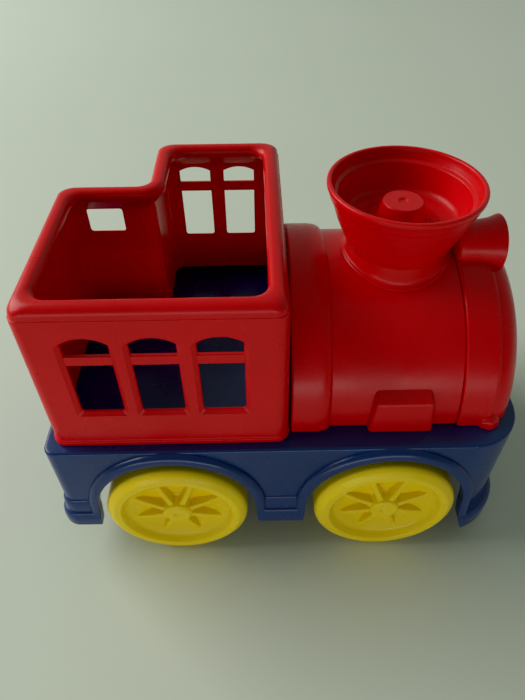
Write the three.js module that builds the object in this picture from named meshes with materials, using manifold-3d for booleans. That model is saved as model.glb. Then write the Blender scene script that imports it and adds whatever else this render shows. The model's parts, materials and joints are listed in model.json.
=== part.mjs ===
// Toy train locomotive. Millimetres, +X forward, +Y to the locomotive's left, +Z up.
// The origin lies on the ground, under the middle of the chassis.
import * as THREE from "three";
import { ConvexGeometry } from "three/addons/geometries/ConvexGeometry.js";
import { mergeVertices } from "three/addons/utils/BufferGeometryUtils.js";
import Module from "manifold-3d";

const wasm = await Module();
wasm.setup();

// ---------------------------------------------------------------- driving dimensions
const GAP = 0.3; // between pieces that meet
const WALL = 2.5; // moulded wall thickness

const CHASSIS = {
  rear: -121, front: 120, halfWidth: 79.5, deckTop: 87,
  rearRadius: 8, frontRadius: 28,
  sideFoot: 24.5, pilotFoot: 11, pilotStart: 95,
};
const WHEEL = {
  radius: 38, outerFace: 87, width: 24, dishRadius: 29, dishDepth: 7,
  hubRadius: 7, hubDepth: 1, spokes: 8, spokeWidth: 3.4, spokeDepth: 2.2, firstSpoke: 22.5,
};
const AXLE = { radius: 2.5, halfLength: 82, rearX: -59, frontX: 53.3 };
const ARCH = { inner: 42.5, outer: 48.5, face: 83, legFlare: 1.3 };
const BEARING = { halfLength: 13, near: 47, far: 56, seatRadius: 3, keeperBottom: 33 };
const CAB = {
  rear: -115.7, front: 0.5, halfWidth: 73.7, stepX: -70, recessY: 27,
  cornerRadius: 6.5, rimRadius: 6, stepRadius: 6.5, ledge: 168, top: 174, rimWidth: 9, draft: 0.8,
};
const RIGHT_WINDOWS = {
  centres: [-86.7, -58.2, -29.7], halfWidth: 10,
  bottom: 111, paneTop: 141, lightBottom: 146.4, spring: 153.6, arch: 156.8,
};
const LEFT_WINDOWS = {
  centres: [-49.2, -23.4], halfWidth: 8.9,
  bottom: 113.2, paneTop: 144.6, lightBottom: 150.3, spring: 157, arch: 159.4,
};
const SQUARE_WINDOW = { rear: -102.8, front: -84, bottom: 147, top: 160.8 };
const BOILER = {
  axisZ: 84, radius: 65, collarRadius: 68.5, collarEnd: 22, front: 86,
  noseRadius: 66.6, shoulder: 102, nose: 117.5, faceRadius: 42, domeRadius: 65,
};
// corners of the valve chest, as [x, distance from the middle, z]
const CHEST = [
  [40.4, 46, 84], [73.4, 46, 84], [40.4, 69.8, 84], [73.4, 69.8, 84],
  [43.6, 67.2, 105.6], [71.8, 67.2, 105.6], [42, 58, 109.4], [70.9, 58, 109.4],
  [42, 50, 109.4], [70.9, 50, 109.4],
];
// corners of the foot that flares out of the smokebox on each side
const NOSE_FOOT = [
  [93, 62, 84], [97.5, 68, 84], [101.9, 69.8, 84], [106.8, 67.6, 84], [114.6, 57, 84], [104, 52, 84],
  [98, 65.5, 94], [102, 66.4, 95.5], [106, 64.2, 94], [104, 52, 95],
];
const FUNNEL = { x: 57, rimTop: 187, rimRadius: 37.4, bossTop: 177 };
const LAMP = {
  axisZ: 151.2, rear: 86.3, rim: 109, barrelRadius: 12.3, rimRadius: 15.2, depth: 12, screwX: 92,
};
const SCREW = { shank: 1.7, hole: 2.1, head: 3.6, headHeight: 2.4, sides: 8 };

const AXLE_Z = WHEEL.radius;
const DECK_UNDER = CHASSIS.deckTop - WALL;
const BODY_FOOT = CHASSIS.deckTop + GAP; // underside of everything that stands on the deck
const EDGES = [-1, 1]; // right-hand and left-hand side

// ---------------------------------------------------------------- materials
const plastic = (color) => new THREE.MeshStandardMaterial({ color, roughness: 0.3, metalness: 0 });
const steel = () => new THREE.MeshStandardMaterial({ color: 0xb4b6b8, roughness: 0.35, metalness: 1 });
const RED = 0xc8141c;
const BLUE = 0x1c3f86;
const YELLOW = 0xf0cf14;

// ---------------------------------------------------------------- solids
// A closed geometry as a manifold solid.
function solid(geometry) {
  const bare = geometry.index ? geometry.toNonIndexed() : geometry.clone();
  bare.deleteAttribute("normal");
  bare.deleteAttribute("uv");
  const merged = mergeVertices(bare, 1e-4);
  return new wasm.Manifold(new wasm.Mesh({
    numProp: 3,
    vertProperties: merged.attributes.position.array,
    triVerts: new Uint32Array(merged.index.array),
  }));
}

// A manifold solid as a named three.js mesh.
function piece(name, shape, material) {
  const raw = shape.getMesh();
  const indexed = new THREE.BufferGeometry();
  indexed.setAttribute("position", new THREE.BufferAttribute(raw.vertProperties, 3));
  indexed.setIndex(new THREE.BufferAttribute(raw.triVerts, 1));
  const geometry = indexed.toNonIndexed();
  geometry.computeVertexNormals();
  const mesh = new THREE.Mesh(geometry, material);
  mesh.name = name;
  return mesh;
}

const addAll = (first, ...rest) => rest.reduce((sum, next) => sum.add(next), first);
const cutAll = (first, ...rest) => rest.reduce((left, next) => left.subtract(next), first);
const extrude = (shape, depth) =>
  new THREE.ExtrudeGeometry(shape, { depth, bevelEnabled: false, curveSegments: 12 });

// A box between two corners.
function block(low, high) {
  const size = high.map((value, axis) => value - low[axis]);
  const geometry = new THREE.BoxGeometry(...size);
  return solid(geometry.translate(...low.map((value, axis) => value + size[axis] / 2)));
}

// An outline in the plan view, raised from bottom to top.
const prismUp = (shape, bottom, top) => solid(extrude(shape, top - bottom).translate(0, 0, bottom));

// An outline in the side view (x, z), running across the locomotive from low y to high y.
const prismAcross = (shape, low, high) =>
  solid(extrude(shape, high - low).rotateX(Math.PI / 2).translate(0, high, 0));

// An outline in the end view (y, z), running along the locomotive from rear to front.
function prismAlong(shape, rear, front) {
  const turn = new THREE.Matrix4().makeBasis(
    new THREE.Vector3(0, 1, 0), new THREE.Vector3(0, 0, 1), new THREE.Vector3(1, 0, 0));
  return solid(extrude(shape, front - rear).applyMatrix4(turn).translate(rear, 0, 0));
}

// A profile of [radius, height] points turned about the Z axis.
function lathe(profile, segments = 40) {
  const points = profile.map(([radius, height]) => new THREE.Vector2(radius, height));
  return new THREE.LatheGeometry(points, segments).rotateX(Math.PI / 2);
}

// The same profile turned about the X axis at the boiler's height; height becomes x.
const latheAlong = (profile, axisZ, segments) =>
  solid(lathe(profile, segments).rotateY(Math.PI / 2).translate(0, 0, axisZ));

// An upright round bar.
const post = (x, y, radius, bottom, top, sides = 16) =>
  solid(lathe([[0, bottom], [radius, bottom], [radius, top], [0, top]], sides).translate(x, y, 0));

// ---------------------------------------------------------------- rounded outlines
// Points round a polygon given as [x, y, corner radius], counter-clockwise. A negative turn is
// a hollow corner. Every corner gets the same number of points, so that outlines match.
function roundedPoints(corners, steps = 6) {
  const points = [];
  corners.forEach(([x, y, radius], index) => {
    const corner = new THREE.Vector2(x, y);
    const before = corners[(index + corners.length - 1) % corners.length];
    const after = corners[(index + 1) % corners.length];
    const arriving = corner.clone().sub(new THREE.Vector2(before[0], before[1])).normalize();
    const leaving = new THREE.Vector2(after[0], after[1]).sub(corner).normalize();
    const turn = Math.atan2(arriving.cross(leaving), arriving.dot(leaving));
    const side = Math.sign(turn);
    const start = corner.clone().addScaledVector(arriving, -radius * Math.tan(Math.abs(turn) / 2));
    const toCentre = new THREE.Vector2(-arriving.y, arriving.x).multiplyScalar(side * radius);
    const centre = start.clone().add(toCentre);
    for (let step = 0; step <= steps; step += 1) {
      points.push(start.clone().rotateAround(centre, (turn * step) / steps));
    }
  });
  return points;
}

// A wall that follows an outline: its section is a closed loop of [outward offset, height].
function sweepWall(outline, section) {
  const rings = section.map(([out, z]) =>
    outline(out).map((point) => new THREE.Vector3(point.x, point.y, z)));
  const count = rings[0].length;
  const positions = rings.flat().flatMap((point) => [point.x, point.y, point.z]);
  const index = [];
  rings.forEach((ring, row) => {
    const nextRow = (row + 1) % rings.length;
    ring.forEach((point, column) => {
      const nextColumn = (column + 1) % count;
      const a = row * count + column;
      const b = row * count + nextColumn;
      const c = nextRow * count + nextColumn;
      const d = nextRow * count + column;
      index.push(a, b, c, a, c, d);
    });
  });
  const geometry = new THREE.BufferGeometry();
  geometry.setAttribute("position", new THREE.Float32BufferAttribute(positions, 3));
  geometry.setIndex(index);
  return solid(geometry);
}

function chassisOutline(out) {
  const { rear, front, halfWidth, rearRadius, frontRadius } = CHASSIS;
  const y = halfWidth + out;
  return roundedPoints([
    [rear - out, -y, rearRadius + out],
    [front + out, -y, frontRadius + out],
    [front + out, y, frontRadius + out],
    [rear - out, y, rearRadius + out],
  ]);
}

// The cab is L-shaped in plan: its rear left corner is stepped in.
function cabOutline(out) {
  const { rear, front, halfWidth, stepX, recessY, cornerRadius, rimRadius, stepRadius } = CAB;
  const convex = Math.max(cornerRadius + out, rimRadius);
  return roundedPoints([
    [rear - out, -halfWidth - out, convex],
    [front + out, -halfWidth - out, convex],
    [front + out, halfWidth + out, convex],
    [stepX - out, halfWidth + out, convex],
    [stepX - out, recessY + out, stepRadius - out / 2],
    [rear - out, recessY + out, convex],
  ]);
}

// ---------------------------------------------------------------- chassis
// A wheel arch in the side view: half a circle over the axle, with legs that run to the foot.
function archShape(axleX, radius, foot, flare) {
  const shape = new THREE.Shape();
  shape.moveTo(axleX - radius - flare, foot);
  shape.lineTo(axleX + radius + flare, foot);
  shape.lineTo(axleX + radius, AXLE_Z);
  shape.absarc(axleX, AXLE_Z, radius, 0, Math.PI, false);
  return shape;
}

// The side skirt is stepped twice at its foot; the pilot round the front hangs lower.
function chassisWalls() {
  const { deckTop, sideFoot, pilotFoot, pilotStart } = CHASSIS;
  const side = sweepWall(chassisOutline, [
    [1.5, sideFoot], [4, sideFoot], [4, 29], [3.5, 33.1], [2.2, 35.5],
    [2.2, 37.5], [1.6, 42], [0, 44.8], [0, deckTop], [-WALL, deckTop], [-WALL, 44.8],
    [-0.3, 37.5], [-0.3, 35.5], [1.5, 29],
  ]);
  const pilot = sweepWall(chassisOutline, [
    [2.5, pilotFoot], [5, pilotFoot], [5, 20], [3.4, 26.4], [0, 29.5],
    [0, deckTop], [-WALL, deckTop], [-WALL, 29.5], [2.5, 20],
  ]);
  const ahead = block([pilotStart, -100, 0], [140, 100, 100]);
  return side.subtract(ahead).add(pilot.intersect(ahead));
}

// Round seats under the deck for one axle: two posts, each with the upper half of a bearing.
function bearingPosts(axleX) {
  const { halfLength, near, far, seatRadius } = BEARING;
  const seat = new THREE.Shape();
  seat.absarc(axleX, AXLE_Z, seatRadius, 0, 2 * Math.PI, false);
  const posts = EDGES.map((side) => {
    const [low, high] = side < 0 ? [-far, -near] : [near, far];
    return block([axleX - halfLength, low, AXLE_Z], [axleX + halfLength, high, DECK_UNDER + 1]);
  });
  return posts[0].add(posts[1]).subtract(prismAcross(seat, -70, 70));
}

const keeperScrews = [AXLE.rearX, AXLE.frontX].flatMap((axleX) =>
  EDGES.map((side) => [axleX + side * 8.5, side * (BEARING.near + BEARING.far) / 2]));
const bodyScrews = [
  [-109.6, -58], [-109.6, 8], [-6, -58], [-6, 8], [30, -50], [30, 50],
];

function chassisShell() {
  const deckShape = new THREE.Shape(chassisOutline(-1));
  let shell = chassisWalls().add(prismUp(deckShape, DECK_UNDER, CHASSIS.deckTop));
  for (const axleX of [AXLE.rearX, AXLE.frontX]) {
    const bead = archShape(axleX, ARCH.outer, CHASSIS.sideFoot, ARCH.legFlare);
    const opening = archShape(axleX, ARCH.inner, -1, ARCH.legFlare);
    for (const side of EDGES) {
      const band = [CHASSIS.halfWidth - WALL, ARCH.face].map((y) => side * y).sort((a, b) => a - b);
      shell = shell.add(prismAcross(bead, ...band));
      const reach = [CHASSIS.halfWidth - 8, 95].map((y) => side * y).sort((a, b) => a - b);
      shell = shell.subtract(prismAcross(opening, ...reach));
    }
    shell = shell.add(bearingPosts(axleX));
  }
  const postHoles = keeperScrews.map(([x, y]) => post(x, y, SCREW.hole, 30, 49, SCREW.sides));
  const bodyHoles = bodyScrews.map(([x, y]) => post(x, y, SCREW.hole, 80, 90, SCREW.sides));
  return cutAll(shell, ...postHoles, ...bodyHoles);
}

// A plate under the two posts of an axle, with the lower half of both bearings.
function axleKeeper(axleX) {
  const { halfLength, far, seatRadius, keeperBottom } = BEARING;
  const plate = block([axleX - halfLength, -far, keeperBottom], [axleX + halfLength, far, AXLE_Z - GAP]);
  const seat = new THREE.Shape();
  seat.absarc(axleX, AXLE_Z, seatRadius, 0, 2 * Math.PI, false);
  const holes = keeperScrews
    .filter(([x]) => Math.abs(x - axleX) < halfLength)
    .map(([x, y]) => post(x, y, SCREW.hole, 30, 40, SCREW.sides));
  return cutAll(plate, prismAcross(seat, -70, 70), ...holes);
}

// ---------------------------------------------------------------- wheels and axles
// A wheel with its axis on Z and its outer face up; face is the height of that face.
function wheelSolid() {
  const { radius, width, dishRadius, dishDepth, hubRadius, hubDepth } = WHEEL;
  const facets = 32;
  const rim = radius / Math.cos(Math.PI / facets);
  const back = -width;
  // half a facet of turn, so that the wheel stands on a flat of its tread
  let wheel = solid(lathe([
    [0, back + 3], [8, back + 3], [9, back + 12], [rim - 5, back + 12], [rim - 4, back],
    [rim - 1, back], [rim, back + 1.5], [rim, -4.5], [rim - 1.4, -1.4], [rim - 4.5, 0],
    [dishRadius + 1.5, 0], [dishRadius, -1.5], [dishRadius - 1, -dishDepth], [0, -dishDepth],
  ], facets).rotateZ(Math.PI / facets));
  const hub = [[0, -dishDepth - 1], [hubRadius + 0.8, -dishDepth - 1], [hubRadius, -hubDepth - 0.8],
    [hubRadius - 0.8, -hubDepth], [2.2, -hubDepth], [1.4, -hubDepth - 0.8], [0, -hubDepth - 0.8]];
  wheel = wheel.add(solid(lathe(hub, 16)));
  for (let spoke = 0; spoke < WHEEL.spokes; spoke += 1) {
    const angle = THREE.MathUtils.degToRad(WHEEL.firstSpoke + (360 * spoke) / WHEEL.spokes);
    const rib = new THREE.BoxGeometry(dishRadius - 3.5, WHEEL.spokeWidth, dishDepth - WHEEL.spokeDepth + 1);
    rib.translate((dishRadius + 3.5) / 2, 0, -(dishDepth + WHEEL.spokeDepth + 1) / 2);
    wheel = wheel.add(solid(rib.rotateZ(angle)));
  }
  const bore = solid(lathe([[0, back - 1], [AXLE.radius + GAP, back - 1],
    [AXLE.radius + GAP, -4.6], [0, -4.6]], 12));
  return wheel.subtract(bore);
}

// side -1 is the right-hand wheel, +1 the left-hand one.
function wheel(name, axleX, side) {
  const mesh = piece(name, wheelSolid(), plastic(YELLOW));
  mesh.position.set(axleX, side * WHEEL.outerFace, AXLE_Z);
  mesh.rotation.x = (-side * Math.PI) / 2;
  return mesh;
}

function axle(name, axleX) {
  const { radius, halfLength } = AXLE;
  const bar = lathe([[0, -halfLength], [radius - 0.6, -halfLength], [radius, 0.6 - halfLength],
    [radius, halfLength - 0.6], [radius - 0.6, halfLength], [0, halfLength]], 16);
  const mesh = piece(name, solid(bar.rotateX(Math.PI / 2)), steel());
  mesh.position.set(axleX, 0, AXLE_Z);
  return mesh;
}

// ---------------------------------------------------------------- cab
// An arched window in the side view: a pane below a bar and a low arched light above it.
function windowShapes(centre, { halfWidth, bottom, paneTop, lightBottom, spring, arch }) {
  const [left, right] = [centre - halfWidth, centre + halfWidth];
  const pane = new THREE.Shape(roundedPoints([
    [left, bottom, 1.5], [right, bottom, 1.5], [right, paneTop, 1], [left, paneTop, 1]], 3));
  const light = new THREE.Shape();
  light.moveTo(left, lightBottom);
  light.lineTo(right, lightBottom);
  light.lineTo(right, spring);
  light.quadraticCurveTo(centre, 2 * arch - spring, left, spring);
  return [pane, light];
}

function cabShell() {
  const { ledge, top, rimWidth, halfWidth, recessY, draft } = CAB;
  let shell = sweepWall(cabOutline, [
    [-WALL, BODY_FOOT], [0.8, BODY_FOOT], [0.8, BODY_FOOT + 2], [0, BODY_FOOT + 3],
    [-draft, ledge], [-1.6, ledge + 2], [-3.4, ledge + 4.4], [-6, top], [-8, top], [-rimWidth, top - 1.2],
    [-rimWidth, top - 3], [-5.6, top - 3], [-draft - WALL, ledge - 1],
  ]);
  for (const [row, wallY] of [[RIGHT_WINDOWS, -halfWidth], [LEFT_WINDOWS, halfWidth]]) {
    for (const centre of row.centres) {
      for (const shape of windowShapes(centre, row)) {
        shell = shell.subtract(prismAcross(shape, wallY - 4, wallY + 4));
      }
    }
  }
  const square = SQUARE_WINDOW;
  const opening = new THREE.Shape(roundedPoints([
    [square.rear, square.bottom, 1.5], [square.front, square.bottom, 1.5],
    [square.front, square.top, 1.5], [square.rear, square.top, 1.5]], 3));
  shell = shell.subtract(prismAcross(opening, recessY - 4, recessY + 4));
  const bosses = bodyScrews.filter(([x]) => x < CAB.front);
  for (const [x, y] of bosses) shell = shell.add(post(x, y, 4.6, BODY_FOOT, BODY_FOOT + 17, 16));
  return cutAll(shell, ...bosses.map(([x, y]) => post(x, y, SCREW.hole, 80, BODY_FOOT + 14, SCREW.sides)));
}

// ---------------------------------------------------------------- boiler
const aboveDeck = () => block([-20, -90, BODY_FOOT], [140, 90, 200]);

// The solid spanned by corners given as [x, distance from the middle, z], on one side.
const spanned = (corners, side) =>
  solid(new ConvexGeometry(corners.map(([x, y, z]) => new THREE.Vector3(x, side * y, z))));

function boilerShell() {
  const { axisZ, radius, collarRadius, collarEnd, front } = BOILER;
  const rear = CAB.front + 1.2 + GAP;
  const outer = latheAlong([
    [0, rear], [collarRadius, rear], [collarRadius, collarEnd - 8], [collarRadius - 0.7, collarEnd - 4],
    [collarRadius - 2.2, collarEnd - 1], [radius, collarEnd], [radius, front], [0, front],
  ], axisZ, 60);
  const inner = latheAlong([
    [0, rear + WALL], [radius, rear + WALL], [radius, collarEnd - 8],
    [radius - WALL, collarEnd - 3], [radius - WALL, front + 1], [0, front + 1],
  ], axisZ, 60);
  const chests = EDGES.map((side) => spanned(CHEST, side));
  let shell = outer.add(chests[0]).add(chests[1]).subtract(inner);
  const bosses = bodyScrews.filter(([x]) => x > CAB.front);
  for (const [x, y] of bosses) shell = shell.add(post(x, y, 4.6, BODY_FOOT, 128, 16).intersect(outer));
  shell = shell.add(post(FUNNEL.x, 0, 9, 143, 147.5, 32));
  const holes = bosses.map(([x, y]) => post(x, y, SCREW.hole, 80, BODY_FOOT + 14, SCREW.sides));
  return cutAll(shell, ...holes, post(FUNNEL.x, 0, SCREW.hole, 140, 152, SCREW.sides)).intersect(aboveDeck());
}

// Points of the nose's rounded shoulder, moved inwards by inset: the edge of the front ring,
// then a quarter of an ellipse that runs in to the flat face.
function noseShoulder(inset) {
  const { noseRadius, shoulder, nose, faceRadius, domeRadius } = BOILER;
  const steps = 6;
  const start = shoulder + 1.5;
  const dome = Array.from({ length: steps + 1 }, (_, step) => {
    const angle = (step / steps) * (Math.PI / 2);
    return [
      faceRadius + (domeRadius - faceRadius - inset) * Math.cos(angle),
      start + (nose - start - inset) * Math.sin(angle),
    ];
  });
  return [[noseRadius - inset, shoulder - inset / 2], ...dome];
}

// The smokebox closes the boiler's front. A spigot slides inside the boiler, and the front face
// carries a round door with a raised rim and a handle boss.
function smokebox() {
  const { axisZ, radius, front, noseRadius, nose } = BOILER;
  const rear = front + GAP;
  const bore = radius - WALL - GAP;
  const outer = latheAlong([
    [0, rear - 8], [bore, rear - 8], [bore, rear], [radius, rear], [noseRadius, rear + 1.5],
    ...noseShoulder(0), [34, nose], [33, nose + 1.4], [29, nose + 1.4], [28, nose],
    [6, nose], [5, nose + 2.6], [0, nose + 2.6],
  ], axisZ, 60);
  const inner = latheAlong([
    [0, rear - 9], [bore - WALL, rear - 9], [bore - WALL, rear + 1.5],
    ...noseShoulder(WALL), [0, nose - WALL],
  ], axisZ, 60);
  const pad = block([LAMP.screwX - 5, -6, 144], [LAMP.screwX + 5, 6, 149.6]);
  const feet = EDGES.map((side) => spanned(NOSE_FOOT, side));
  const shell = addAll(outer, ...feet).subtract(inner).add(pad);
  return shell.subtract(post(LAMP.screwX, 0, SCREW.hole, 140, 155, SCREW.sides)).intersect(aboveDeck());
}

// ---------------------------------------------------------------- funnel and headlamp
// Space held by the boiler and the smokebox, with the fitting gap, for pieces that sit on them.
function saddle() {
  const { axisZ, radius, noseRadius, front } = BOILER;
  const barrel = latheAlong([[0, -10], [radius + GAP, -10], [radius + GAP, front - GAP],
    [0, front - GAP]], axisZ, 60);
  const nose = latheAlong([[0, front - GAP], [noseRadius + GAP, front - GAP],
    ...noseShoulder(-GAP), [0, 130]], axisZ, 60);
  return barrel.add(nose);
}

function funnel() {
  const { x, rimTop, rimRadius, bossTop } = FUNNEL;
  const body = solid(lathe([
    [0, 140], [28.2, 140], [27.6, 149.8], [25.2, 151.5], [25.2, 154.2], [31.6, 169.7], [34.8, 179.4],
    [35.8, 180.4], [rimRadius, rimTop - 3], [rimRadius, rimTop - 0.8], [rimRadius - 0.8, rimTop],
    [rimRadius - 2, rimTop], [34.6, rimTop - 1.5], [33, 181.4], [31.4, 180.2], [29.4, 173],
    [25.4, 168], [20, 165.7], [12.6, 165.3], [11.4, 166.2], [10, bossTop - 1], [9.3, bossTop],
    [2.6, bossTop], [1.6, bossTop - 0.8], [0, bossTop - 0.8],
  ], 40).translate(x, 0, 0));
  const hollow = solid(lathe([
    [5.5, 138], [22.6, 138], [22.6, 158], [20, 162], [5.5, 162], [5.5, 138],
  ], 24).translate(x, 0, 0));
  return cutAll(body, hollow, saddle(), post(x, 0, SCREW.hole, 138, 168, SCREW.sides));
}

function headlamp() {
  const { axisZ, rear, rim, barrelRadius, rimRadius, depth, screwX } = LAMP;
  const bell = latheAlong([
    [0, rear], [barrelRadius - 3, rear], [barrelRadius, rear + 3], [barrelRadius, rim - 12],
    [barrelRadius + 0.9, rim - 6], [rimRadius - 0.6, rim - 1.4], [rimRadius, rim - 0.6],
    [rimRadius - 0.8, rim], [rimRadius - 2, rim - 0.8], [barrelRadius - 1.2, rim - 6],
    [barrelRadius - 2, rim - depth], [0, rim - depth],
  ], axisZ, 32);
  return cutAll(bell, saddle(), post(screwX, 0, SCREW.hole, 138, 161, SCREW.sides));
}

// ---------------------------------------------------------------- screws
// A pan-head screw driven upwards: seat is the height of the surface that its head bears on.
function screw(name, x, y, seat, length) {
  const { shank, head, headHeight, sides } = SCREW;
  const under = seat - GAP;
  const mesh = piece(name, solid(lathe([
    [0, under - headHeight + 1], [1.2, under - headHeight], [head - 1, under - headHeight],
    [head, under - headHeight + 1], [head, under], [shank, under], [shank, under + length - 2],
    [0, under + length],
  ], sides)), steel());
  mesh.position.set(x, y, 0);
  return mesh;
}

// ---------------------------------------------------------------- assembly
const locomotive = new THREE.Group();
locomotive.name = "toy_train_locomotive";
locomotive.add(piece("chassis_shell", chassisShell(), plastic(BLUE)));
locomotive.add(piece("cab_shell", cabShell(), plastic(RED)));
locomotive.add(piece("boiler_shell", boilerShell(), plastic(RED)));
locomotive.add(piece("smokebox", smokebox(), plastic(RED)));
locomotive.add(piece("funnel", funnel(), plastic(RED)));
locomotive.add(piece("headlamp", headlamp(), plastic(RED)));

for (const [end, axleX] of [["rear", AXLE.rearX], ["front", AXLE.frontX]]) {
  locomotive.add(axle(`${end}_axle`, axleX));
  locomotive.add(piece(`${end}_axle_keeper`, axleKeeper(axleX), plastic(BLUE)));
  for (const [hand, side] of [["right", -1], ["left", 1]]) {
    locomotive.add(wheel(`${end}_wheel_${hand}`, axleX, side));
  }
}
keeperScrews.forEach(([x, y], index) =>
  locomotive.add(screw(`keeper_screw_${index + 1}`, x, y, BEARING.keeperBottom, 14)));
bodyScrews.forEach(([x, y], index) =>
  locomotive.add(screw(`body_screw_${index + 1}`, x, y, DECK_UNDER, 14)));
locomotive.add(screw("funnel_screw", FUNNEL.x, 0, 143, 18));
locomotive.add(screw("headlamp_screw", LAMP.screwX, 0, 144, 14));

export default locomotive;
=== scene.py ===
"""Looks for the toy train locomotive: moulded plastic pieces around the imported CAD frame.

Lengths below are millimetres in the row frame (+X forwards, +Y left, +Z up); meshes are scaled
to metres as they are made.
"""

import json
import math

import bmesh
import bpy
from mathutils import Matrix, Vector


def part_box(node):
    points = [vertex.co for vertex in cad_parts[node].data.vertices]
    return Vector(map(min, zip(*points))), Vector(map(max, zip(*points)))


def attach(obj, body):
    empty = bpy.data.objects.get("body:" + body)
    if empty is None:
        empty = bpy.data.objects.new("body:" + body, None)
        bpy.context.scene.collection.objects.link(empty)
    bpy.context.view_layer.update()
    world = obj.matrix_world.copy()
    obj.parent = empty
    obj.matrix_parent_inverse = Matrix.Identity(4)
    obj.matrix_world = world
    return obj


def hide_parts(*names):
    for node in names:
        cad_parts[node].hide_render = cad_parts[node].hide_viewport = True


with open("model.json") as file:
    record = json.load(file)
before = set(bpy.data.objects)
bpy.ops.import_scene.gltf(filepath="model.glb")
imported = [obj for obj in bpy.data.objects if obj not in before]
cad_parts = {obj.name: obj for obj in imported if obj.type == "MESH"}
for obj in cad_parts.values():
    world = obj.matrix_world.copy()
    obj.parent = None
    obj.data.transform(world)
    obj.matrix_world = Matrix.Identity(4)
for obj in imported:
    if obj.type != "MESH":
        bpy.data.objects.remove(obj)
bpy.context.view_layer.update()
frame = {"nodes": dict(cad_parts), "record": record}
MM = 0.001


# ---------------------------------------------------------------- sizes, from the CAD nodes
def node_box(node):
    """Lowest and highest corner of a CAD node, in millimetres."""
    low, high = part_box(node)
    return [v / MM for v in low], [v / MM for v in high]


CHASSIS_LOW, CHASSIS_HIGH = node_box("chassis_shell")
CAB_LOW, CAB_HIGH = node_box("cab_shell")
BOILER_LOW, BOILER_HIGH = node_box("boiler_shell")
NOSE_HIGH = node_box("smokebox")[1]
FUNNEL_LOW, FUNNEL_HIGH = node_box("funnel")
LAMP_HIGH = node_box("headlamp")[1]

SIDE_LIP, PILOT_LIP = 4.0, 5.0  # how far the feet of the skirt and of the pilot stand out
WALL = 2.5
REAR = CHASSIS_LOW[0] + SIDE_LIP
FRONT = CHASSIS_HIGH[0] - PILOT_LIP
HALF_WIDTH = 79.5
DECK = CHASSIS_HIGH[2]
BODY_FOOT = CAB_LOW[2]
FOOT = 24.5
PILOT_FOOT = CHASSIS_LOW[2]
PILOT_START = 93.6  # clear of the outline's own points, where a second column would leave slivers
PILOT_SPLAY = 8.8  # the front arch opens this much further forwards at the ground
AXLES = [sum(v[0] for v in node_box(f"{end}_axle")) / 2 for end in ("rear", "front")]
AXLE_Z = 38.0
ARCH_INNER, ARCH_OUTER, ARCH_FACE, LEG_FLARE = 42.5, 48.5, 83.0, 1.3
BOILER_Z = 84.0
BARREL = 65.0
COLLAR = 68.5
COLLAR_END = 22.0
FUNNEL_X = (FUNNEL_LOW[0] + FUNNEL_HIGH[0]) / 2
FUNNEL_TOP = FUNNEL_HIGH[2]


# ---------------------------------------------------------------- mesh building
def finished(name, mesh, angle=32):
    """A new object for a mesh in millimetres, smooth with sharp edges kept."""
    mesh.transform(Matrix.Scale(MM, 4))
    mesh.name = name
    obj = bpy.data.objects.new(name, mesh)
    bpy.context.collection.objects.link(obj)
    shade(obj, angle)
    return obj


def shade(obj, angle=32):
    obj.data.shade_smooth()
    obj.data.set_sharp_from_angle(angle=math.radians(angle))


def to_mesh(bm):
    bmesh.ops.remove_doubles(bm, verts=bm.verts, dist=1e-4)
    bmesh.ops.delete(bm, geom=[e for e in bm.edges if not e.link_faces], context="EDGES")
    bmesh.ops.recalc_face_normals(bm, faces=bm.faces)
    if bm.calc_volume(signed=True) < 0:
        bmesh.ops.reverse_faces(bm, faces=bm.faces)
    mesh = bpy.data.meshes.new("piece")
    bm.to_mesh(mesh)
    bm.free()
    return mesh


def rings_mesh(rings, loop=False, turn=True):
    """Skins a stack of equal rings of points. loop joins the last ring to the first, and without
    it the ends are closed; turn says that each ring is itself closed."""
    bm = bmesh.new()
    rows = [[bm.verts.new(p) for p in ring] for ring in rings]
    count = len(rows[0])
    pairs = list(zip(rows, rows[1:])) + ([(rows[-1], rows[0])] if loop else [])
    for lower, upper in pairs:
        for i in range(count if turn else count - 1):
            j = (i + 1) % count
            bm.faces.new((lower[i], lower[j], upper[j], upper[i]))
    if not loop:
        bm.faces.new(rows[0])
        bm.faces.new(rows[-1])
    return to_mesh(bm)


def fillet(points, steps=5):
    """A polyline of (x, y, radius) points with its corners rounded."""
    out = []
    for i, (x, y, r) in enumerate(points):
        here = Vector((x, y))
        if r <= 0 or i in (0, len(points) - 1):
            out.append(here)
            continue
        back = (Vector(points[i - 1][:2]) - here)
        ahead = (Vector(points[i + 1][:2]) - here)
        room = min(back.length, ahead.length) * 0.499
        back.normalize()
        ahead.normalize()
        half = back.angle(ahead) / 2
        cut = min(r / math.tan(half), room)
        radius = cut * math.tan(half)
        centre = here + (back + ahead).normalized() * (radius / math.sin(half))
        start = here + back * cut - centre
        end = here + ahead * cut - centre
        sweep = start.angle_signed(end)
        for s in range(steps + 1):
            turned = start.copy()
            turned.rotate(Matrix.Rotation(-sweep * s / steps, 2))
            out.append(centre + turned)
    return out


def bulge(start, end, steps=6):
    """A quarter of an ellipse: it leaves the first point along y and meets the second along x."""
    (x0, y0), (x1, y1) = start, end
    points = []
    for s in range(steps + 1):
        a = s / steps * math.pi / 2
        points.append(Vector((x1 + (x0 - x1) * math.cos(a), y0 + (y1 - y0) * math.sin(a))))
    return points


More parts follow.
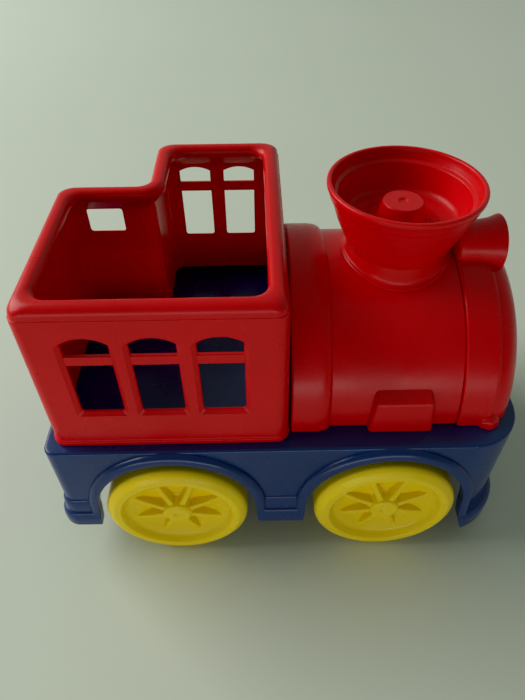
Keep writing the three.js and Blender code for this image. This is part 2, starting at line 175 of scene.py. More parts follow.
def rounded_outline(corners, steps=14):
    """Points round a polygon of (x, y, radius) corners, the same number at every corner."""
    points = []
    for i, (x, y, r) in enumerate(corners):
        here = Vector((x, y))
        back = (Vector(corners[i - 1][:2]) - here).normalized()
        ahead = (Vector(corners[(i + 1) % len(corners)][:2]) - here).normalized()
        half = back.angle(ahead) / 2
        centre = here + (back + ahead).normalized() * (r / math.sin(half))
        start = here + back * (r / math.tan(half)) - centre
        end = here + ahead * (r / math.tan(half)) - centre
        sweep = start.angle_signed(end)
        for s in range(steps + 1):
            turned = start.copy()
            turned.rotate(Matrix.Rotation(-sweep * s / steps, 2))
            points.append(centre + turned)
    return points


def revolve(profile, place, segments=96):
    """Turns (radius, height) points about Z, then places the mesh."""
    rings = []
    for s in range(segments):
        a = 2 * math.pi * s / segments
        rings.append([Vector((r * math.cos(a), r * math.sin(a), h)) for r, h in profile])
    closed = (Vector(profile[0]) - Vector(profile[-1])).length < 1e-6
    mesh = rings_mesh(rings, loop=True, turn=closed)
    mesh.transform(place)
    return mesh


def along_x(z):
    """Turns the revolving axis to +X at that height; height becomes x."""
    return Matrix.Translation((0, 0, z)) @ Matrix.Rotation(math.pi / 2, 4, "Y")


def on_axis(axis, p, t):
    """A point of an outline, at t along that axis."""
    return {"z": (p[0], p[1], t), "y": (p[0], t, p[1]), "x": (t, p[0], p[1])}[axis]


def prism(outline, low, high, axis):
    """A closed outline swept from low to high along an axis."""
    return rings_mesh([[on_axis(axis, p, t) for p in outline] for t in (low, high)])


def loft(outline, levels, axis):
    """Like prism, but through levels of (position, outward offset); outline(offset) is points."""
    return rings_mesh([[on_axis(axis, p, t) for p in outline(out)] for t, out in levels])


def spanned(corners, side, soft):
    """The solid between corners given as (x, distance from the middle, z), with soft edges."""
    bm = bmesh.new()
    for x, y, z in corners:
        bm.verts.new((x, side * y, z))
    bmesh.ops.convex_hull(bm, input=bm.verts)
    bmesh.ops.dissolve_limit(bm, angle_limit=math.radians(2), verts=bm.verts, edges=bm.edges)
    ridges = [e for e in bm.edges if e.calc_face_angle(0) > math.radians(24)]
    bmesh.ops.bevel(bm, geom=ridges, offset=soft, segments=4, profile=0.5, affect="EDGES",
                    clamp_overlap=True)
    bmesh.ops.triangulate(bm, faces=[f for f in bm.faces if len(f.verts) > 4])
    return to_mesh(bm)


def combine(base, others, operation):
    """Boolean of meshes in millimetres; the result is a new mesh."""
    obj = bpy.data.objects.new("base", base)
    bpy.context.collection.objects.link(obj)
    cutters = []
    for mesh in others:
        cutter = bpy.data.objects.new("cutter", mesh)
        bpy.context.collection.objects.link(cutter)
        cutters.append(cutter)
        mod = obj.modifiers.new("boolean", "BOOLEAN")
        mod.operation = operation
        mod.solver = "EXACT"
        mod.object = cutter
    evaluated = obj.evaluated_get(bpy.context.evaluated_depsgraph_get())
    result = bpy.data.meshes.new_from_object(evaluated)
    for o in [obj] + cutters:
        old = o.data
        bpy.data.objects.remove(o)
        bpy.data.meshes.remove(old)
    return result


def cut(base, *others):
    return combine(base, others, "DIFFERENCE")


def join(base, *others):
    return combine(base, others, "UNION")


def box_mesh(low, high):
    outline = [(low[0], low[1]), (high[0], low[1]), (high[0], high[1]), (low[0], high[1])]
    return prism(outline, low[2], high[2], "z")


def mirrored(mesh):
    """The same mesh on the other side of the locomotive."""
    other = mesh.copy()
    other.transform(Matrix.Scale(-1, 4, (0, 1, 0)))
    other.flip_normals()
    return other


# ---------------------------------------------------------------- materials
def plastic(name, colour, dark, rough=0.3, scuff=0.1, level=0.2):
    """Injection-moulded plastic: a faintly uneven colour, flow marks, fine scuffs and a gloss
    that varies a little over the surface."""
    mat = bpy.data.materials.new(name)
    mat.use_nodes = True
    nodes, links = mat.node_tree.nodes, mat.node_tree.links
    shader = nodes["Principled BSDF"]
    shader.inputs["IOR"].default_value = 1.5
    shader.inputs["Specular IOR Level"].default_value = level
    coords = nodes.new("ShaderNodeTexCoord")

    def noise(scale, detail=3.0, stretch=None):
        tex = nodes.new("ShaderNodeTexNoise")
        tex.inputs["Scale"].default_value = scale
        tex.inputs["Detail"].default_value = detail
        source = coords.outputs["Object"]
        if stretch:
            mapping = nodes.new("ShaderNodeMapping")
            mapping.inputs["Scale"].default_value = stretch
            mapping.inputs["Rotation"].default_value = (0.4, 0.3, 0.9)
            links.new(source, mapping.inputs["Vector"])
            source = mapping.outputs["Vector"]
        links.new(source, tex.inputs["Vector"])
        return tex.outputs["Fac"]

    def ramp(value, low, high, a, b):
        node = nodes.new("ShaderNodeMapRange")
        node.inputs["From Min"].default_value = low
        node.inputs["From Max"].default_value = high
        node.inputs["To Min"].default_value = a
        node.inputs["To Max"].default_value = b
        links.new(value, node.inputs["Value"])
        return node.outputs["Result"]

    def mix(factor, a, b):
        node = nodes.new("ShaderNodeMix")
        node.data_type = "RGBA"
        links.new(factor, node.inputs["Factor"])
        for socket, value in ((node.inputs["A"], a), (node.inputs["B"], b)):
            if isinstance(value, tuple):
                socket.default_value = (*value, 1)
            else:
                links.new(value, socket)
        return node.outputs["Result"]

    # slow flow marks, then fine pale scuffs
    base = mix(ramp(noise(22, 4), 0.35, 0.68, 0, 1), colour, dark)
    fine = ramp(noise(60, 5, (1, 14, 1)), 0.62, 0.78, 0, scuff)
    pale = tuple(min(1, 0.75 * c + 0.12) for c in colour)
    links.new(mix(fine, base, pale), shader.inputs["Base Color"])
    links.new(ramp(noise(45, 4), 0.3, 0.7, rough - 0.05, rough + 0.07), shader.inputs["Roughness"])

    # the skin of the moulding: slight waves with a fine grain over them
    height = nodes.new("ShaderNodeMath")
    height.operation = "MULTIPLY_ADD"
    height.inputs[1].default_value = 0.12
    links.new(noise(900, 2), height.inputs[0])
    links.new(noise(38, 2), height.inputs[2])
    bump = nodes.new("ShaderNodeBump")
    bump.inputs["Strength"].default_value = 0.16
    bump.inputs["Distance"].default_value = 0.0012
    links.new(height.outputs["Value"], bump.inputs["Height"])
    links.new(bump.outputs["Normal"], shader.inputs["Normal"])
    return mat


def zinc(name):
    """Zinc-plated steel with fine turning marks and dull patches."""
    mat = bpy.data.materials.new(name)
    mat.use_nodes = True
    nodes, links = mat.node_tree.nodes, mat.node_tree.links
    shader = nodes["Principled BSDF"]
    shader.inputs["Metallic"].default_value = 1.0
    coords = nodes.new("ShaderNodeTexCoord")
    patches = nodes.new("ShaderNodeTexNoise")
    patches.inputs["Scale"].default_value = 160
    patches.inputs["Detail"].default_value = 4
    links.new(coords.outputs["Object"], patches.inputs["Vector"])
    tint = nodes.new("ShaderNodeMix")
    tint.data_type = "RGBA"
    tint.inputs["A"].default_value = (0.52, 0.52, 0.53, 1)
    tint.inputs["B"].default_value = (0.36, 0.36, 0.35, 1)
    links.new(patches.outputs["Fac"], tint.inputs["Factor"])
    links.new(tint.outputs["Result"], shader.inputs["Base Color"])
    gloss = nodes.new("ShaderNodeMapRange")
    gloss.inputs["To Min"].default_value = 0.22
    gloss.inputs["To Max"].default_value = 0.5
    links.new(patches.outputs["Fac"], gloss.inputs["Value"])
    links.new(gloss.outputs["Result"], shader.inputs["Roughness"])
    marks = nodes.new("ShaderNodeTexNoise")
    marks.inputs["Scale"].default_value = 1400
    links.new(coords.outputs["Object"], marks.inputs["Vector"])
    bump = nodes.new("ShaderNodeBump")
    bump.inputs["Strength"].default_value = 0.15
    bump.inputs["Distance"].default_value = 0.0002
    links.new(marks.outputs["Fac"], bump.inputs["Height"])
    links.new(bump.outputs["Normal"], shader.inputs["Normal"])
    return mat


RED = plastic("red_plastic", (0.66, 0.004, 0.007), (0.60, 0.003, 0.005), 0.28, 0.05)
BLUE = plastic("blue_plastic", (0.006, 0.032, 0.150), (0.005, 0.026, 0.128), 0.24, 0.05, 0.4)
YELLOW = plastic("yellow_plastic", (0.90, 0.67, 0.010), (0.86, 0.62, 0.008), 0.28, 0.05)
STEEL = zinc("zinc_steel")


def dress(obj, material, body, nodes):
    obj.data.materials.clear()
    obj.data.materials.append(material)
    weighted = obj.modifiers.new("weighted", "WEIGHTED_NORMAL")
    weighted.keep_sharp = True
    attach(obj, body)
    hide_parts(*nodes)


# ---------------------------------------------------------------- chassis
def chassis_section(pilot):
    """Out and up round the chassis wall, from the deck's underside to its top edge."""
    if pilot:
        foot, lip = PILOT_FOOT, PILOT_LIP
        outer = bulge((lip, foot + 8.0), (0.9, 25.4), 9) + fillet([(0.8, 25.5, 0), (0, 25.9, 0.6),
                                                                   (0, 30, 0)], 3)
        inner = [(-WALL, 30), (-1.4, 25), (1.4, 22), (2.5, 18)]
    else:
        foot, lip = FOOT, SIDE_LIP
        outer = bulge((lip, 29.0), (1.8, 35.0)) + bulge((1.8, 37.0), (0.0, 44.8))
        inner = [(-WALL, 46), (-0.8, 40), (-0.7, 35), (0.5, 29)]
    toe = fillet([(lip - 2.5, foot, 0), (lip, foot, 0.9), (lip, foot + 4, 0)], 4)
    edge = fillet([(0, 60, 0), (0, DECK, 1.5), (-4, DECK, 0)], 5)
    return [(-WALL, DECK - WALL)] + inner + toe + outer + edge


def chassis_mesh():
    side, pilot = chassis_section(False), chassis_section(True)
    corners = lambda out: [
        (REAR - out, -HALF_WIDTH - out, 6.5 + out), (FRONT + out, -HALF_WIDTH - out, 28 + out),
        (FRONT + out, HALF_WIDTH + out, 28 + out), (REAR - out, HALF_WIDTH + out, 6.5 + out)]
    plain = rounded_outline(corners(0))
    # the section changes at the pilot, so two columns stand close together there
    stations = []
    for i, point in enumerate(plain):
        stations.append((i, 0.0, point.x > PILOT_START))
        after = plain[(i + 1) % len(plain)]
        if (point.x - PILOT_START) * (after.x - PILOT_START) < 0:
            t = (PILOT_START - point.x) / (after.x - point.x)
            gap = 0.15 / (after - point).length
            stations.append((i, t - gap, point.x > PILOT_START))
            stations.append((i, t + gap, after.x > PILOT_START))
    rings = []
    for level in range(len(side)):
        ring = []
        for i, t, ahead in stations:
            out, z = (pilot if ahead else side)[level]
            outline = rounded_outline(corners(out))
            a, b = outline[i], outline[(i + 1) % len(outline)]
            p = a.lerp(b, t)
            ring.append((p.x, p.y, z))
        rings.append(ring)
    shell = rings_mesh(rings)

    def arch_path(x, radius, foot):
        """Half a circle over the axle, with legs that flare a little down to the foot."""
        points = [(x + radius + LEG_FLARE, foot), (x + radius + LEG_FLARE / 2, (foot + AXLE_Z) / 2)]
        for s in range(49):
            a = math.pi * s / 48
            points.append((x + radius * math.cos(a), AXLE_Z + radius * math.sin(a)))
        points.append((x - radius - LEG_FLARE / 2, (foot + AXLE_Z) / 2))
        points.append((x - radius - LEG_FLARE, foot))
        return points

    cutters, beads = [], []
    for x, splay in zip(AXLES, (0.0, PILOT_SPLAY)):
        reach = ARCH_INNER + LEG_FLARE
        path = [(x + reach + splay, -2)] + arch_path(x, ARCH_INNER - 0.02, FOOT) + [(x - reach, -2)]
        opening = prism(path, -98, -70, "y")
        cutters += [opening, mirrored(opening)]
        section = fillet([(ARCH_INNER, HALF_WIDTH - 2, 0), (ARCH_INNER, ARCH_FACE, 0.9),
                          (ARCH_INNER + 2, ARCH_FACE, 0)], 4)
        section += bulge((ARCH_OUTER, HALF_WIDTH - 0.3), (ARCH_INNER + 2, ARCH_FACE), 9)[::-1]
        section.append(Vector((ARCH_OUTER, HALF_WIDTH - 2)))
        paths = [arch_path(x, radius, FOOT) for radius, _ in section]
        rings = [[(path[i][0], -y, path[i][1]) for path, (_, y) in zip(paths, section)]
                 for i in range(len(paths[0]))]
        bead = rings_mesh(rings)
        beads += [bead, mirrored(bead)]

    posts = []
    for x in AXLES:
        for y in (-51.5, 51.5):
            outline = rounded_outline([(x - 13, y - 4.5, 1.5), (x + 13, y - 4.5, 1.5),
                                       (x + 13, y + 4.5, 1.5), (x - 13, y + 4.5, 1.5)], 4)
            post = prism(outline, AXLE_Z, DECK - 1, "z")
            on_axle = Matrix.Translation((x, 0, AXLE_Z)) @ Matrix.Rotation(math.pi / 2, 4, "X")
            seat = revolve([(0, -70), (3, -70), (3, 70), (0, 70)], on_axle, 32)
            posts.append(cut(post, seat))
    return join(cut(shell, *cutters), *beads, *posts)


chassis = finished("chassis_body", chassis_mesh())
dress(chassis, BLUE, "frame", ["chassis_shell"])


# ---------------------------------------------------------------- cab
FLANGE = 0.8
CAB_REAR, CAB_FRONT, CAB_HALF = CAB_LOW[0] + FLANGE, CAB_HIGH[0] - FLANGE, CAB_HIGH[1] - FLANGE
STEP_X, RECESS_Y = -70.0, 27.0
LEDGE, LEAN = 168.0, 0.8  # height of the ledge under the rim; how far the walls lean in there
BOSS, BOSS_BORE = 4.6, 2.1  # radii of the screw bosses
# side, window centres, half width, foot, start of the arch, its crown, foot and top of the bar
WINDOW_ROWS = [
    (-1, (-86.7, -58.2, -29.7), 10, 111, 153.6, 156.8, 141, 146.4),
    (1, (-49.2, -23.4), 8.9, 113.2, 157, 159.4, 144.6, 150.3)]


def cab_outline(out):
    r = 6.5 + out if out > -1 else min(5.5 - 0.7 * (out + 1), 8.5)
    return rounded_outline([
        (CAB_REAR - out, -CAB_HALF - out, r), (CAB_FRONT + out, -CAB_HALF - out, r),
        (CAB_FRONT + out, CAB_HALF + out, r), (STEP_X - out, CAB_HALF + out, r),
        (STEP_X - out, RECESS_Y + out, 6.5 - out / 2), (CAB_REAR - out, RECESS_Y + out, r)])


def arched(x, half, low, spring, top):
    """An arched window: offset to outline, in the side view."""
    def outline(out):
        h = half + out
        points = fillet([(x, low - out, 0), (x + h, low - out, 1.6), (x + h, spring, 0)], 4)
        rise = top - spring + out
        radius = (h * h + rise * rise) / (2 * rise)
        reach = math.asin(h / radius)
        for s in range(1, 12):
            a = reach - 2 * reach * s / 12
            height = top + out - radius + radius * math.cos(a)
            points.append(Vector((x + radius * math.sin(a), height)))
        points += fillet([(x - h, spring, 0), (x - h, low - out, 1.6), (x, low - out, 0)], 4)
        return points[:-1]
    return outline


def plain_window(x0, x1, z0, z1):
    return lambda out: rounded_outline(
        [(x0 - out, z0 - out, 1.5), (x1 + out, z0 - out, 1.5), (x1 + out, z1 + out, 1.5),
         (x0 - out, z1 + out, 1.5)], 4)


def leaned(mesh, side):
    """Follows the wall, which leans in towards the ledge."""
    for v in mesh.vertices:
        v.co.y -= side * LEAN * (v.co.z - BODY_FOOT) / (LEDGE - BODY_FOOT)
    return mesh


def window_cutter(outline, y, side, edge=2.0):
    """Cuts through a wall whose outer face is at y, and slopes the opening's outer edge."""
    levels = [(y - side * 6, 0.0), (y - side * edge, 0.0)]
    for depth, out in ((0.82, 0.1), (0.7, 0.22), (0.28, 0.8), (0.14, 0.96), (0.04, 1.06)):
        levels.append((y - side * edge * depth, edge * out))
    levels += [(y, edge * 1.14), (y + side * 3, edge * 1.16)]
    return leaned(loft(outline, levels, "y"), side)


def transom(x, half, low, high, y, side):
    """The bar across a window, set back from the wall's outer face."""
    back, face = y - side * 3.6, y - side * 1.7
    outline = fillet([(low, back, 0), (low, face, 0.7), (high, face, 0.7), (high, back, 0)], 4)
    return leaned(rings_mesh([[(x + t, p.y, p.x) for p in outline] for t in (-half, half)]), side)


def cab_mesh():
    top = CAB_HIGH[2]
    outer = (fillet([(-WALL, BODY_FOOT, 0), (FLANGE, BODY_FOOT, 0.4), (FLANGE, BODY_FOOT + 2.3, 0.6),
                     (0, BODY_FOOT + 3.1, 0.8), (-LEAN, LEDGE - 1, 0)], 4)
             + fillet([(-LEAN, LEDGE - 0.6, 0), (-LEAN, LEDGE, 0.3), (-LEAN - 0.45, LEDGE + 0.1, 0.25),
                       (-LEAN - 0.5, LEDGE + 1, 0)], 3)
             + bulge((-LEAN - 0.55, LEDGE + 1.4), (-5.6, top), 9)
             + bulge((-9.6, top - 3.4), (-6.6, top), 7)[::-1]
             + fillet([(-9.7, top - 3.7, 0), (-9.4, top - 5.4, 1.2), (-WALL - LEAN, LEDGE - 7, 4),
                       (-WALL, BODY_FOOT + 1, 0)], 5))
    rings = [[(p.x, p.y, z) for p in cab_outline(out)] for out, z in outer]
    shell = rings_mesh(rings, loop=True)
    cutters, bars = [], []
    for side, centres, half, low, spring, crown, bar_low, bar_high in WINDOW_ROWS:
        wall = side * CAB_HALF
        for x in centres:
            cutters.append(window_cutter(arched(x, half, low, spring, crown), wall, side))
            bars.append(transom(x, half + 0.5, bar_low, bar_high, wall, side))
    cutters.append(window_cutter(plain_window(-102.8, -84, 147, 160.8), RECESS_Y, 1))
    shell = join(cut(shell, *cutters), *bars)
    boss = fillet([(BOSS_BORE, BODY_FOOT, 0), (BOSS, BODY_FOOT, 0.4), (BOSS, BODY_FOOT + 17, 0.8),
                   (0, BODY_FOOT + 17, 0)], 3)
    boss += [(0, BODY_FOOT + 14), (BOSS_BORE, BODY_FOOT + 14), (BOSS_BORE, BODY_FOOT)]
    bosses = [revolve(boss, Matrix.Translation((x, y, 0)), 32)
              for x in (-109.6, -6) for y in (-58, 8)]
    return join(shell, *bosses)


cab = finished("cab_body", cab_mesh())
dress(cab, RED, "frame", ["cab_shell"])


# ---------------------------------------------------------------- boiler
def above_deck():
    return box_mesh((-30, -100, BODY_FOOT), (150, 100, 240))


CHEST = [  # corners as (x, distance from the middle, z)
    (40.2, 46, 82), (73.6, 46, 82), (40.2, 69.9, 82), (73.6, 69.9, 82), (43.4, 67.4, 105.8),
    (71.8, 67.4, 105.8), (43.2, 58, 109.4), (71.2, 58, 109.4), (42.2, 46, 109.4), (71.6, 46, 109.4)]
NOSE_FOOT = [
    (91, 62, 74), (96.4, 68.6, 74), (102, 71.6, 74), (108, 69, 74), (116, 57, 74), (104, 50, 74),
    (97.2, 67.2, 91), (102, 69.4, 93), (107, 66.4, 91), (104, 50, 98)]


def boiler_mesh():
    rear, front = BOILER_LOW[0], BOILER_HIGH[0]
    outer = (fillet([(0, rear, 0), (COLLAR, rear, 1.2), (COLLAR, rear + 6, 0)], 5)
             + bulge((COLLAR, COLLAR_END - 9), (BARREL + 0.7, COLLAR_END - 0.6), 10)
             + fillet([(BARREL + 0.5, COLLAR_END - 0.5, 0), (BARREL, COLLAR_END, 1.2),
                       (BARREL, COLLAR_END + 8, 0), (BARREL, front, 0.5), (BARREL - WALL, front, 0)], 6))
    inner = [Vector(p) for p in ((BARREL - WALL, COLLAR_END - 1), (BARREL - 0.6, COLLAR_END - 8),
                                 (BARREL - 0.6, rear + WALL), (0, rear + WALL))]
    shell = revolve(outer + inner, along_x(BOILER_Z), 160)
    bosses = []
    for x, y in ((30, -50), (30, 50)):
        post = [(0, 80), (BOSS, 80), (BOSS, 114), (0, 114)]
        bosses.append(revolve(post, Matrix.Translation((x, y, 0)), 32))
    bore = BARREL - WALL - 0.05
    core = revolve([(0, rear + 1), (bore, rear + 1), (bore, front + 9), (0, front + 9)],
                   along_x(BOILER_Z), 160)
    chests = [cut(spanned(CHEST, side, 2.6), core.copy()) for side in (-1, 1)]
    whole = join(shell, *chests, *bosses)
    return combine(whole, [above_deck()], "INTERSECT")


boiler = finished("boiler_body", boiler_mesh())
dress(boiler, RED, "frame", ["boiler_shell"])


# ---------------------------------------------------------------- smokebox
NOSE_RING = 66.6


def nose_profile():
    """Start of the nose, its raised ring, its dome, and the door on its flat face."""
    rear, face = BOILER_HIGH[0] + 0.3, NOSE_HIGH[0] - 2.6
    ring = fillet([(BARREL - 0.6, rear, 0), (NOSE_RING - 0.1, rear, 1.0), (NOSE_RING, 95, 0),
                   (NOSE_RING, 102, 0.9), (NOSE_RING - 1.1, 103, 0.4), (NOSE_RING - 1.3, 103.4, 0)], 5)
    dome = []
    for s in range(15):
        a = s / 14 * math.pi / 2
        x = 103.5 + (face - 103.5) * math.sin(a)
        dome.append(Vector((42 + (NOSE_RING - 43.4) * math.cos(a), x)))
    door = fillet([(40, face, 0), (34, face, 0.6), (33, face + 1.4, 0.9), (29, face + 1.4, 0.9),
                   (28, face, 0.6), (7, face, 0.8), (5.2, face + 2.6, 1.2), (0, face + 2.6, 0)], 4)
    return rear, ring, dome, door


def smokebox_mesh():
    rear, ring, dome, door = nose_profile()
    bore = BARREL - WALL - 0.3
    spigot = fillet([(bore - WALL, rear - 8, 0), (bore, rear - 8, 0.5), (bore, rear, 0)], 3)
    inside = [Vector((p.x - WALL * 0.9, p.y - WALL * 0.8)) for p in reversed(dome)]
    back = [(bore - WALL, rear + 2), (bore - WALL, rear - 8)]
    core = [(0, rear - 9), (bore - WALL - 0.1, rear - 9), (bore - WALL - 0.1, rear + 2)]
    core += [(p.x - 0.1, p.y - 0.1) for p in reversed(inside)] + [(0, inside[0].y - 0.1)]
    skin = spigot + ring + dome + door + [(0, inside[0].y)] + inside + back
    shell = revolve([Vector(p) for p in skin], along_x(BOILER_Z), 160)
    inner = revolve([Vector(p) for p in core], along_x(BOILER_Z), 160)
    feet = [cut(spanned(NOSE_FOOT, side, 1.6), inner.copy()) for side in (-1, 1)]
    return combine(join(shell, *feet), [above_deck()], "INTERSECT")


smokebox = finished("smokebox_body", smokebox_mesh())
dress(smokebox, RED, "frame", ["smokebox"])


# ---------------------------------------------------------------- funnel
def funnel_mesh():
    """A bowl on a waisted stem, whose flange follows the barrel's curve."""
    top = FUNNEL_TOP
    bowl = (fillet([(25.1, 154.6, 0), (25.7, 156, 2), (31.6, 169.7, 0), (34.6, 179.0, 0.9),
                    (35.5, 179.9, 1.0), (36.5, 183, 0), (37.2, top - 2.4, 1.2)], 4)
            + fillet([(37.3, top - 2.2, 0), (37.4, top, 1.2), (35.0, top, 1.1), (34.6, top - 2.2, 0)], 5)
            + fillet([(34.1, top - 3.4, 0), (33.2, 181.6, 0.8), (31.4, 180.6, 0.8), (29.6, 173, 0),
                      (28.4, 167.4, 5.5), (20.0, 165.6, 8), (12.4, 165.3, 1.4), (10.1, 176, 0),
                      (9.6, 177, 1.0), (2.6, 177, 0.4), (1.5, 176.2, 0.4), (0, 176.1, 0)], 5))
    flange, stem, stem_top = 27.6, 25.0, 154.4
    segments = 128
    rings = []
    for s in range(segments):
        a = 2 * math.pi * s / segments
        c, n = math.cos(a), math.sin(a)

        def saddle(r):
            return BOILER_Z + math.sqrt(BARREL ** 2 - (r * n) ** 2) + 0.05

        foot = saddle(flange)
        ring = [(0, 162), (20, 162), (22.4, 158), (22.4, saddle(22.4)), (flange - 0.3, foot),
                (flange, foot + 0.4), (flange, foot + 1.0), (flange - 0.4, foot + 1.4)]
        for t in range(9):
            b = t / 8 * math.pi / 2
            ring.append((stem + (flange - 0.6 - stem) * (1 - math.sin(b)),
                         foot + 1.45 + 3.6 * (1 - math.cos(b))))
        ring.append((stem, stem_top))
        ring += [(p[0], p[1]) for p in bowl]
        rings.append([Vector((FUNNEL_X + r * c, r * n, z)) for r, z in ring])
    return rings_mesh(rings, loop=True, turn=False)


funnel = finished("funnel_body", funnel_mesh())
dress(funnel, RED, "frame", ["funnel"])


# ---------------------------------------------------------------- headlamp
def lamp_mesh():
    z, rim = LAMP_HIGH[2] - 15.2, LAMP_HIGH[0]
    profile = fillet([(0, 86.4, 0), (12.0, 86.4, 2.6), (12.3, rim - 12, 20), (13.4, rim - 5, 16),
                      (15.0, rim - 1.3, 1.5), (15.2, rim - 0.5, 0.4), (14.4, rim, 0.5),
                      (13.0, rim - 1.4, 4), (11.2, rim - 6, 12), (10.4, rim - 12, 2), (0, rim - 12, 0)], 6)
    bell = revolve(profile, along_x(z), 96)
    rear, ring, dome, door = nose_profile()
    nose = [(0, rear - 2), (NOSE_RING + 0.05, rear - 2), (NOSE_RING + 0.05, 102)]
    nose += [(p.x + 0.05, p.y + 0.03) for p in dome] + [(0, dome[-1].y)]
    return cut(bell, revolve([Vector(p) for p in nose], along_x(BOILER_Z), 160))


lamp = finished("headlamp_body", lamp_mesh())
dress(lamp, RED, "frame", ["headlamp"])


# ---------------------------------------------------------------- wheels and axles
def wheel_mesh(spin):
    """A wheel with its axis on Z and its outer face up at z 0."""
    radius, width, dish = 38.0, 24.0, 29.0
    profile = fillet([
        (0, -width + 3, 0), (8, -width + 3, 0.6), (9, -width + 12, 1.5), (radius - 5, -width + 12, 1.5),
        (radius - 4.4, -width, 0.8), (radius, -width, 1.6), (radius, -3, 4.6), (radius - 4.4, 0.0, 2.5),
        (dish + 1.2, -0.3, 1.2), (dish - 1.2, -4.0, 5), (21, -7.6, 14), (9.8, -8.2, 2.2),
        (7.6, -1.8, 1.4), (6.0, -1.0, 1.0), (2.4, -1.1, 0.6), (1.2, -2.0, 0.4), (0, -2.1, 0)], 6)
    body = revolve(profile, Matrix.Identity(4), 128)
    ribs = []
    for spoke in range(8):
        rings = []
        for r, half, top in ((4.5, 2.0, -2.4), (10, 1.6, -3.0), (17, 1.4, -3.8), (23, 1.3, -4.8),
                             (27.5, 1.3, -6.2)):
            outline = fillet([(-half - 0.8, -10, 0), (-half, top, 1.1), (half, top, 1.1),
                              (half + 0.8, -10, 0)], 5)
            rings.append([Vector((r, p.x, p.y)) for p in outline])
        rib = rings_mesh(rings)
        rib.transform(Matrix.Rotation(math.radians(spin + 45 * spoke), 4, "Z"))
        ribs.append(rib)
    return join(body, *ribs)


def wheel(node, body, spin):
    low, high = node_box(node)
    side = -1 if low[1] < 0 else 1
    face = low[1] if side < 0 else high[1]
    mesh = wheel_mesh(spin)
    mesh.transform(Matrix.Translation(((low[0] + high[0]) / 2, face, AXLE_Z))
                   @ Matrix.Rotation(-side * math.pi / 2, 4, "X"))
    obj = finished(node.replace("wheel", "road_wheel"), mesh)
    dress(obj, YELLOW, body, [node])


for end, spin in (("rear", 22.0), ("front", 21.0)):
    for hand in ("right", "left"):
        wheel(f"{end}_wheel_{hand}", f"{end}_wheelset", spin)

for node, obj in frame["nodes"].items():
    slot = next(p["material_slot"] for p in frame["record"]["subparts"] if p["node"] == node)
    material = {"steel": STEEL, "blue_plastic": BLUE, "yellow_plastic": YELLOW}.get(slot, RED)
    obj.data.materials.clear()
    obj.data.materials.append(material)


# ---------------------------------------------------------------- floor, light and camera
def floor_material():
    mat = bpy.data.materials.new("floor")
    mat.use_nodes = True
    nodes, links = mat.node_tree.nodes, mat.node_tree.links
    shader = nodes["Principled BSDF"]
    shader.inputs["Roughness"].default_value = 0.7
    noise = nodes.new("ShaderNodeTexNoise")
    noise.inputs["Scale"].default_value = 3
    coords = nodes.new("ShaderNodeTexCoord")
    links.new(coords.outputs["Object"], noise.inputs["Vector"])
    tint = nodes.new("ShaderNodeMix")
    tint.data_type = "RGBA"
    tint.inputs["A"].default_value = (0.60, 0.66, 0.55, 1)
    tint.inputs["B"].default_value = (0.64, 0.70, 0.60, 1)
    links.new(noise.outputs["Fac"], tint.inputs["Factor"])
    links.new(tint.outputs["Result"], shader.inputs["Base Color"])
    return mat


floor_data = bpy.data.meshes.new("floor")
SIDE = 6.0
floor_data.from_pydata([(-SIDE, -SIDE, 0), (SIDE, -SIDE, 0), (SIDE, SIDE, 0), (-SIDE, SIDE, 0)], [],
                       [(0, 1, 2, 3)])
floor = bpy.data.objects.new("floor", floor_data)
bpy.context.collection.objects.link(floor)
floor_data.materials.append(floor_material())


def area_light(name, place, target, size, power, colour):
    data = bpy.data.lights.new(name, "AREA")
    data.shape = "RECTANGLE"
    data.size, data.size_y = size
    data.energy = power
    data.color = colour
    obj = bpy.data.objects.new(name, data)
    obj.location = place
    obj.rotation_euler = (Vector(target) - Vector(place)).to_track_quat("-Z", "Y").to_euler()
    bpy.context.collection.objects.link(obj)


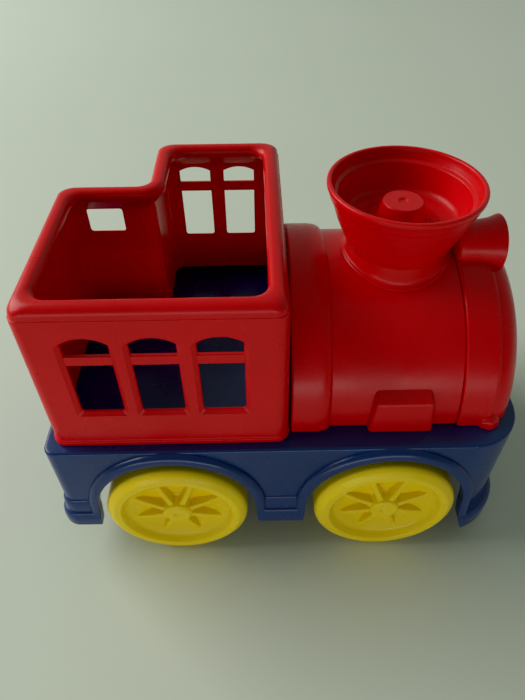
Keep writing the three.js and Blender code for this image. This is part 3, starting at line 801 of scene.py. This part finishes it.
area_light("window", (-2.4, 0.88, 1.76), (0, 0, 0.05), (2.5, 1.9), 84, (1.0, 1.0, 0.97))
area_light("bounce", (-0.15, -1.2, 0.14), (0, 0, 0.07), (1.6, 0.2), 4.2, (0.97, 1.0, 0.97))

# the room is brighter overhead and behind the locomotive than on the side it is looked at from
world = bpy.data.worlds.new("room")
world.use_nodes = True
room, wires = world.node_tree.nodes, world.node_tree.links
direction = room.new("ShaderNodeTexCoord")
parts = room.new("ShaderNodeSeparateXYZ")
wires.new(direction.outputs["Generated"], parts.inputs["Vector"])
depth = room.new("ShaderNodeMapRange")
depth.inputs["From Min"].default_value = -0.8
depth.inputs["From Max"].default_value = 0.8
depth.inputs["To Min"].default_value = 0.15
depth.inputs["To Max"].default_value = 0.66
wires.new(parts.outputs["Y"], depth.inputs["Value"])
wires.new(depth.outputs["Result"], room["Background"].inputs["Strength"])
room["Background"].inputs["Color"].default_value = (0.50, 0.55, 0.49, 1)
bpy.context.scene.world = world
bpy.context.scene.view_settings.view_transform = "Standard"
bpy.context.scene.view_settings.look = "None"
bpy.context.scene.view_settings.use_curve_mapping = True
bpy.context.scene.view_settings.curve_mapping.black_level = (0.003, 0.003, 0.003)
bpy.context.scene.view_settings.curve_mapping.update()

CAMERA_PLACE = (-0.0140, -0.24146, 0.31965)
YAW, PITCH, ROLL = (math.radians(v) for v in (0.68, 45.09, -0.55))
look = Vector((math.sin(YAW) * math.cos(PITCH), math.cos(YAW) * math.cos(PITCH), -math.sin(PITCH)))
level = Vector((math.cos(YAW), -math.sin(YAW), 0))
up = level.cross(look)
across = level * math.cos(ROLL) + up * math.sin(ROLL)
rise = -level * math.sin(ROLL) + up * math.cos(ROLL)
camera_data = bpy.data.cameras.new("camera")
camera_data.sensor_width = 36
camera_data.lens = 29.3
camera_data.clip_start = 0.01
camera = bpy.data.objects.new("camera", camera_data)
turn = Matrix((across, rise, -look)).transposed().to_4x4()
camera.matrix_world = Matrix.Translation(CAMERA_PLACE) @ turn
bpy.context.collection.objects.link(camera)
bpy.context.scene.camera = camera

bpy.context.view_layer.update()
